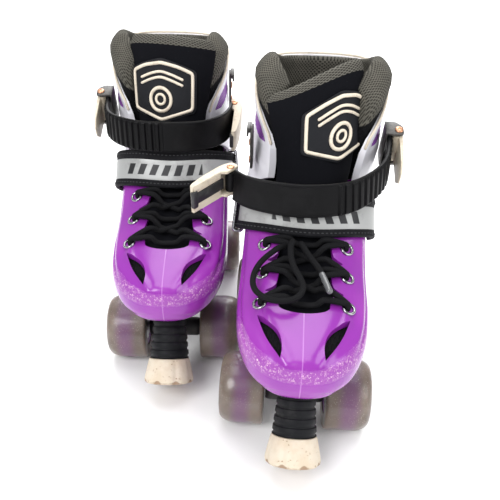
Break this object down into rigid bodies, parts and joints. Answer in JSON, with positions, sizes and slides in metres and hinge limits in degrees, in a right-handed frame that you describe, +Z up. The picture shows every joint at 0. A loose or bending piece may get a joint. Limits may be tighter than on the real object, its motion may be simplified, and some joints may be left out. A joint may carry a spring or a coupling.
{
  "type": "quad roller skates",
  "caption": "Pair of adjustable quad roller skates with moulded shell, hinged cuff, padded boot, straps, buckles, trucks, wheels and toe stops.",
  "frame": {"origin": "floor level, under the middle of the pair of skates", "axes": "+Z up, toes towards -Y, +X towards the wearer's left skate"},
  "size_m": [0.2387, 0.3387, 0.25],
  "materials": {
    "shell": "glossy moulded shell with worn, scuffed edges",
    "cuff": "satin moulded cuff with a mesh inset",
    "lining": "grey spacer mesh lining",
    "neoprene": "matt knit-faced foam",
    "strap_webbing": "woven webbing",
    "ankle_strap": "soft ribbed rubbery plastic",
    "stem_rubber": "matt ribbed rubber",
    "stop_pad": "worn off-white rubber",
    "chassis": "black coated plate and trucks",
    "axle": "plain steel",
    "rivet": "bright rivet heads and eyelets",
    "wire": "bright wire",
    "wheel": "smoked cast polyurethane",
    "buckle": "cream moulded levers, grimy in the corners",
    "bracket": "dark pressed brackets",
    "cushion": "steering cushions",
    "lace": "round braided lace"
  },
  "bodies": {
    "right_boot": {"right_shell": "shell", "right_base_plate": "chassis", "right_foot_liner": "lining", "right_instep_tongue": "neoprene", "right_toe_stop_stem": "stem_rubber", "right_toe_stop_pad": "stop_pad", "right_cuff_rivet_inner": "rivet", "right_cuff_rivet_outer": "rivet", "right_instep_strap": "strap_webbing", "right_strap_ring": "wire", "right_laces": "lace", "right_front_cushion": "cushion", "right_rear_cushion": "cushion"},
    "right_cuff_body": {"right_cuff": "cuff", "right_collar": "lining", "right_ankle_tongue": "neoprene", "right_ratchet_base": "bracket", "right_ankle_strap": "ankle_strap", "right_catch_strip": "bracket"},
    "right_ratchet_arm": {"right_ratchet_lever": "buckle"},
    "right_cam_arm": {"right_cam_lever": "buckle"},
    "right_front_steering": {"right_front_truck": "chassis", "right_front_axle": "axle"},
    "right_rear_steering": {"right_rear_truck": "chassis", "right_rear_axle": "axle"},
    "right_front_inner_roller": {"right_front_inner_wheel": "wheel"},
    "right_front_outer_roller": {"right_front_outer_wheel": "wheel"},
    "right_rear_inner_roller": {"right_rear_inner_wheel": "wheel"},
    "right_rear_outer_roller": {"right_rear_outer_wheel": "wheel"},
    "left_boot": {"left_shell": "shell", "left_base_plate": "chassis", "left_foot_liner": "lining", "left_instep_tongue": "neoprene", "left_toe_stop_stem": "stem_rubber", "left_toe_stop_pad": "stop_pad", "left_cuff_rivet_inner": "rivet", "left_cuff_rivet_outer": "rivet", "left_instep_strap": "strap_webbing", "left_strap_ring": "wire", "left_laces": "lace", "left_front_cushion": "cushion", "left_rear_cushion": "cushion", "left_lace_loop": "lace", "left_lace_end": "lace"},
    "left_cuff_body": {"left_cuff": "cuff", "left_collar": "lining", "left_ankle_tongue": "neoprene", "left_ratchet_base": "bracket", "left_ankle_strap": "ankle_strap", "left_catch_strip": "bracket"},
    "left_ratchet_arm": {"left_ratchet_lever": "buckle"},
    "left_cam_arm": {"left_cam_lever": "buckle"},
    "left_front_steering": {"left_front_truck": "chassis", "left_front_axle": "axle"},
    "left_rear_steering": {"left_rear_truck": "chassis", "left_rear_axle": "axle"},
    "left_front_inner_roller": {"left_front_inner_wheel": "wheel"},
    "left_front_outer_roller": {"left_front_outer_wheel": "wheel"},
    "left_rear_inner_roller": {"left_rear_inner_wheel": "wheel"},
    "left_rear_outer_roller": {"left_rear_outer_wheel": "wheel"}
  },
  "joints": [
    {"name": "right_cuff_flex", "type": "hinge", "parent": "right_boot", "child": "right_cuff_body", "pos_m": [-0.05481, 0.09866, 0.128], "axis": [0.9995, 0.0321, 0], "range_deg": [-6, 1.5], "stiffness_Nm_per_rad": 2},
    {"name": "right_ratchet_lever_hinge", "type": "hinge", "parent": "right_cuff_body", "child": "right_ratchet_arm", "pos_m": [-0.11548, 0.0717, 0.188], "axis": [-0.011, 0.3418, -0.9397], "range_deg": [0, 65]},
    {"name": "right_cam_lever_hinge", "type": "hinge", "parent": "right_cuff_body", "child": "right_cam_arm", "pos_m": [-0.00534, 0.06924, 0.187], "axis": [0.012, -0.3744, 0.9272], "range_deg": [0, 22]},
    {"name": "right_front_truck_steer", "type": "hinge", "parent": "right_boot", "child": "right_front_steering", "pos_m": [-0.05103, -0.01903, 0.027], "axis": [-0.0227, 0.7067, 0.7071], "range_deg": [-7, 7], "stiffness_Nm_per_rad": 4},
    {"name": "right_rear_truck_steer", "type": "hinge", "parent": "right_boot", "child": "right_rear_steering", "pos_m": [-0.0557, 0.1264, 0.027], "axis": [0.0227, -0.7067, 0.7071], "range_deg": [-7, 7], "stiffness_Nm_per_rad": 4},
    {"name": "right_front_inner_wheel_spin", "type": "hinge", "parent": "right_front_steering", "child": "right_front_inner_roller", "pos_m": [-0.01205, -0.01777, 0.027], "axis": [0.9995, 0.0321, 0], "continuous": true},
    {"name": "right_front_outer_wheel_spin", "type": "hinge", "parent": "right_front_steering", "child": "right_front_outer_roller", "pos_m": [-0.09001, -0.02028, 0.027], "axis": [0.9995, 0.0321, 0], "continuous": true},
    {"name": "right_rear_inner_wheel_spin", "type": "hinge", "parent": "right_rear_steering", "child": "right_rear_inner_roller", "pos_m": [-0.01672, 0.12765, 0.027], "axis": [0.9995, 0.0321, 0], "continuous": true},
    {"name": "right_rear_outer_wheel_spin", "type": "hinge", "parent": "right_rear_steering", "child": "right_rear_outer_roller", "pos_m": [-0.09468, 0.12515, 0.027], "axis": [0.9995, 0.0321, 0], "continuous": true},
    {"name": "left_cuff_flex", "type": "hinge", "parent": "left_boot", "child": "left_cuff_body", "pos_m": [0.05523, 0.02302, 0.128], "axis": [0.9985, -0.0555, 0], "range_deg": [-6, 6], "stiffness_Nm_per_rad": 2},
    {"name": "left_ratchet_lever_hinge", "type": "hinge", "parent": "left_cuff_body", "child": "left_ratchet_arm", "pos_m": [0.11525, -0.00536, 0.188], "axis": [-0.0208, -0.374, 0.9272], "range_deg": [0, 65]},
    {"name": "left_cam_lever_hinge", "type": "hinge", "parent": "left_cuff_body", "child": "left_cam_arm", "pos_m": [-0.00299, -0.04235, 0.1728], "axis": [0.0077, 0.139, -0.9903], "range_deg": [-36, 50]},
    {"name": "left_front_truck_steer", "type": "hinge", "parent": "left_boot", "child": "left_front_steering", "pos_m": [0.0487, -0.09455, 0.027], "axis": [0.0392, 0.706, 0.7071], "range_deg": [-7, 7], "stiffness_Nm_per_rad": 4},
    {"name": "left_rear_truck_steer", "type": "hinge", "parent": "left_boot", "child": "left_rear_steering", "pos_m": [0.05677, 0.05072, 0.027], "axis": [-0.0392, -0.706, 0.7071], "range_deg": [-7, 7], "stiffness_Nm_per_rad": 4},
    {"name": "left_front_inner_wheel_spin", "type": "hinge", "parent": "left_front_steering", "child": "left_front_inner_roller", "pos_m": [0.00976, -0.09239, 0.027], "axis": [0.9985, -0.0555, 0], "continuous": true},
    {"name": "left_front_outer_wheel_spin", "type": "hinge", "parent": "left_front_steering", "child": "left_front_outer_roller", "pos_m": [0.08764, -0.09671, 0.027], "axis": [0.9985, -0.0555, 0], "continuous": true},
    {"name": "left_rear_inner_wheel_spin", "type": "hinge", "parent": "left_rear_steering", "child": "left_rear_inner_roller", "pos_m": [0.01783, 0.05289, 0.027], "axis": [0.9985, -0.0555, 0], "continuous": true},
    {"name": "left_rear_outer_wheel_spin", "type": "hinge", "parent": "left_rear_steering", "child": "left_rear_outer_roller", "pos_m": [0.09571, 0.04856, 0.027], "axis": [0.9985, -0.0555, 0], "continuous": true},
    {"name": "pair_spacing", "type": "slide", "parent": "right_boot", "child": "left_boot", "axis": [1, 0, 0], "range_m": [0, 0.2]}
  ]
}
